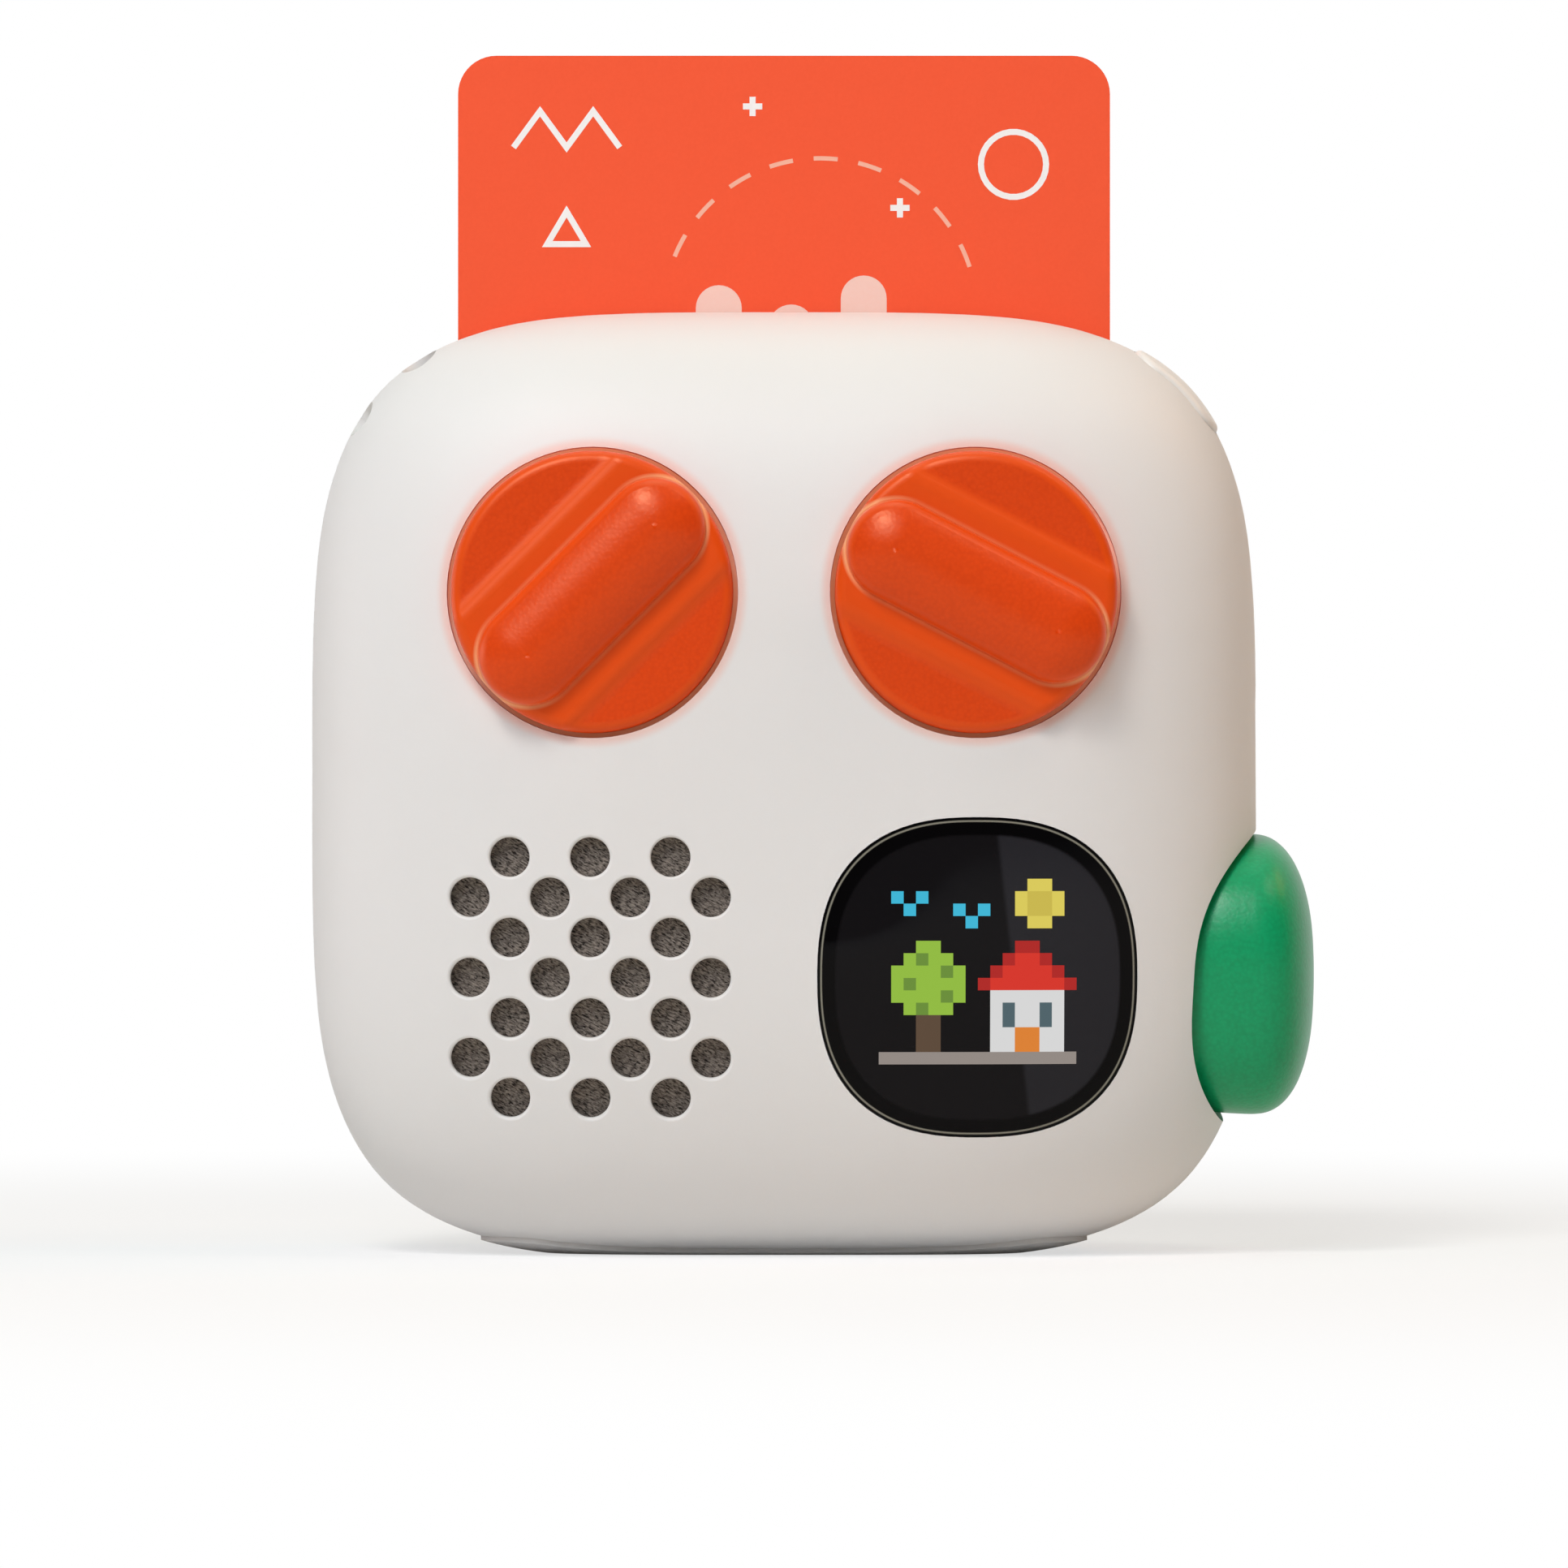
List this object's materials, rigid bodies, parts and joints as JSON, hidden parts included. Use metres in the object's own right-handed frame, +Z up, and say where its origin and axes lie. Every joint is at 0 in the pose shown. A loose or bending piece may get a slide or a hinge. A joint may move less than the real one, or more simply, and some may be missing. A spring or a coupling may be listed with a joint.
{
  "type": "audio story player",
  "caption": "Soft square screen-free audio player for children: ridged knobs, pixel display, speaker grille, side and corner buttons, slot with a story card.",
  "frame": {"origin": "middle of the base pad's underside, on the plane where the body is widest", "axes": "+Z up, +Y from the knobs' face to the back, +X to the viewer's right when facing the knobs"},
  "size_m": [0.0825, 0.0394, 0.0989],
  "materials": {
    "shell_plastic": "warm off-white ABS with a very fine matt texture",
    "base_rubber": "pale grey silicone pad",
    "knob_plastic": "orange-red soft-touch plastic with a fine leather grain",
    "green_button_plastic": "green soft-touch plastic with a fine leather grain",
    "cream_button_plastic": "cream moulded plastic",
    "speaker_fabric": "dark grey acoustic felt",
    "soft_rubber": "black foam and rubber",
    "smoked_lens": "gloss smoked acrylic",
    "black_plastic": "black moulded plastic",
    "display_board": "black board with a grid of lamps",
    "circuit_board": "green solder resist",
    "plated_steel": "plated steel",
    "cone_paper": "pressed black paper",
    "coil_copper": "enamelled copper",
    "battery_wrap": "silver pouch film",
    "lead_insulation": "red insulation",
    "ribbon_film": "amber polyimide film",
    "printed_card": "laminated printed card"
  },
  "bodies": {
    "root": {"front_shell": "shell_plastic", "rear_shell": "shell_plastic", "base_pad": "base_rubber", "display_lens": "smoked_lens", "display_frame": "black_plastic", "display_panel": "display_board", "display_header": "black_plastic", "speaker_cloth": "speaker_fabric", "speaker_gasket": "soft_rubber", "speaker_frame": "black_plastic", "speaker_magnet": "plated_steel", "speaker_surround": "soft_rubber", "main_board": "circuit_board", "board_chips": "black_plastic", "left_encoder": "plated_steel", "right_encoder": "plated_steel", "side_switch": "black_plastic", "corner_switch": "black_plastic", "card_guide": "black_plastic", "reader_coil": "coil_copper", "battery_pack": "battery_wrap", "battery_foam": "soft_rubber", "port_board": "circuit_board", "headphone_socket": "black_plastic", "usb_socket": "plated_steel", "port_ribbon": "ribbon_film", "case_screws": "plated_steel", "board_screws": "plated_steel", "battery_lead": "lead_insulation", "speaker_lead": "lead_insulation"},
    "left_press": {"left_encoder_plunger": "black_plastic"},
    "left_dial": {"left_knob": "knob_plastic", "left_encoder_shaft": "plated_steel", "left_encoder_clip": "plated_steel"},
    "right_press": {"right_encoder_plunger": "black_plastic"},
    "right_dial": {"right_knob": "knob_plastic", "right_encoder_shaft": "plated_steel", "right_encoder_clip": "plated_steel"},
    "side_button": {"side_button": "green_button_plastic", "side_switch_plunger": "black_plastic"},
    "corner_button": {"corner_button": "cream_button_plastic", "corner_switch_plunger": "black_plastic"},
    "card": {"story_card": "printed_card"},
    "speaker_cone": {"speaker_cone": "cone_paper", "dust_cap": "cone_paper", "voice_coil": "coil_copper"}
  },
  "joints": [
    {"name": "left_knob_press", "type": "slide", "parent": "root", "child": "left_press", "axis": [0, 1, 0], "range_m": [0, 0.0005], "stiffness_N_per_m": 500, "springref_m": -0.001},
    {"name": "left_knob_turn", "type": "hinge", "parent": "left_press", "child": "left_dial", "pos_m": [-0.0155, -0.014, 0.0541], "axis": [0, -1, 0], "continuous": true},
    {"name": "right_knob_press", "type": "slide", "parent": "root", "child": "right_press", "axis": [0, 1, 0], "range_m": [0, 0.0005], "stiffness_N_per_m": 500, "springref_m": -0.001},
    {"name": "right_knob_turn", "type": "hinge", "parent": "right_press", "child": "right_dial", "pos_m": [0.0155, -0.014, 0.0541], "axis": [0, -1, 0], "continuous": true},
    {"name": "side_button_press", "type": "slide", "parent": "root", "child": "side_button", "axis": [-1, 0, 0], "range_m": [0, 0.0008], "stiffness_N_per_m": 500, "springref_m": -0.001},
    {"name": "corner_button_press", "type": "slide", "parent": "root", "child": "corner_button", "axis": [-0.7071, 0, -0.7071], "range_m": [0, 0.0005], "stiffness_N_per_m": 400, "springref_m": -0.001},
    {"name": "card_slide", "type": "slide", "parent": "root", "child": "card", "axis": [0, 0, 1], "range_m": [0, 0.06]},
    {"name": "cone_stroke", "type": "slide", "parent": "root", "child": "speaker_cone", "axis": [0, -1, 0], "range_m": [-0.0005, 0.0005], "stiffness_N_per_m": 2000, "deforming": ["speaker_surround"]}
  ]
}
